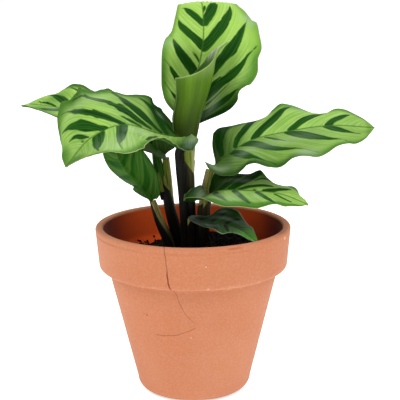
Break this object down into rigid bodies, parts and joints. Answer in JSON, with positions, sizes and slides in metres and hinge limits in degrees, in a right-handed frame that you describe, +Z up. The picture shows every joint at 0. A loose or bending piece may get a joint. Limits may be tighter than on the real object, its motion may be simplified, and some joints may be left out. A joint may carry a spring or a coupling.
{
  "type": "potted calathea",
  "caption": "Calathea in a round clay pot: striped leaves spread on sheathed stalks that rise from dark soil, with one young leaf still rolled up.",
  "frame": {"origin": "the centre of the pot's foot on the surface that it stands on, on the pot's axis; it is the bottom centre of the whole object's box within the tolerance", "axes": "+Z up along the pot's axis; +X to the right of the side that the picture shows, along which the leaves spread; -Y toward the viewer of that side"},
  "size_m": [0.1989, 0.1105, 0.2173],
  "materials": {
    "pot": "unglazed fired clay, matte",
    "soil": "dark potting soil, loose and moist",
    "main_stem": "olive and dark brown plant stalk, slightly glossy",
    "left_stem": "olive and dark brown plant stalk, slightly glossy",
    "drooping_stem": "olive and dark brown plant stalk, slightly glossy",
    "right_stem": "olive and dark brown plant stalk, slightly glossy",
    "small_stem": "olive and dark brown plant stalk, slightly glossy",
    "tall_leaf": "light green leaf with dark green stripes, satin",
    "left_leaf": "light green leaf with dark green stripes, satin",
    "far_left_leaf": "light green leaf with dark green stripes, satin",
    "drooping_leaf": "light green leaf with dark green stripes, satin",
    "right_leaf": "light green leaf with dark green stripes, satin",
    "lower_right_leaf": "light green leaf with dark green stripes, satin",
    "small_leaf": "light green leaf with dark green stripes, satin",
    "rolled_leaf": "yellow-green young leaf, satin"
  },
  "bodies": {
    "root": {"pot": "pot", "soil": "soil", "main_stem": "main_stem", "left_stem": "left_stem", "drooping_stem": "drooping_stem", "right_stem": "right_stem", "small_stem": "small_stem", "tall_leaf": "tall_leaf", "left_leaf": "left_leaf", "far_left_leaf": "far_left_leaf", "drooping_leaf": "drooping_leaf", "right_leaf": "right_leaf", "lower_right_leaf": "lower_right_leaf", "small_leaf": "small_leaf", "rolled_leaf": "rolled_leaf"}
  },
  "joints": []
}
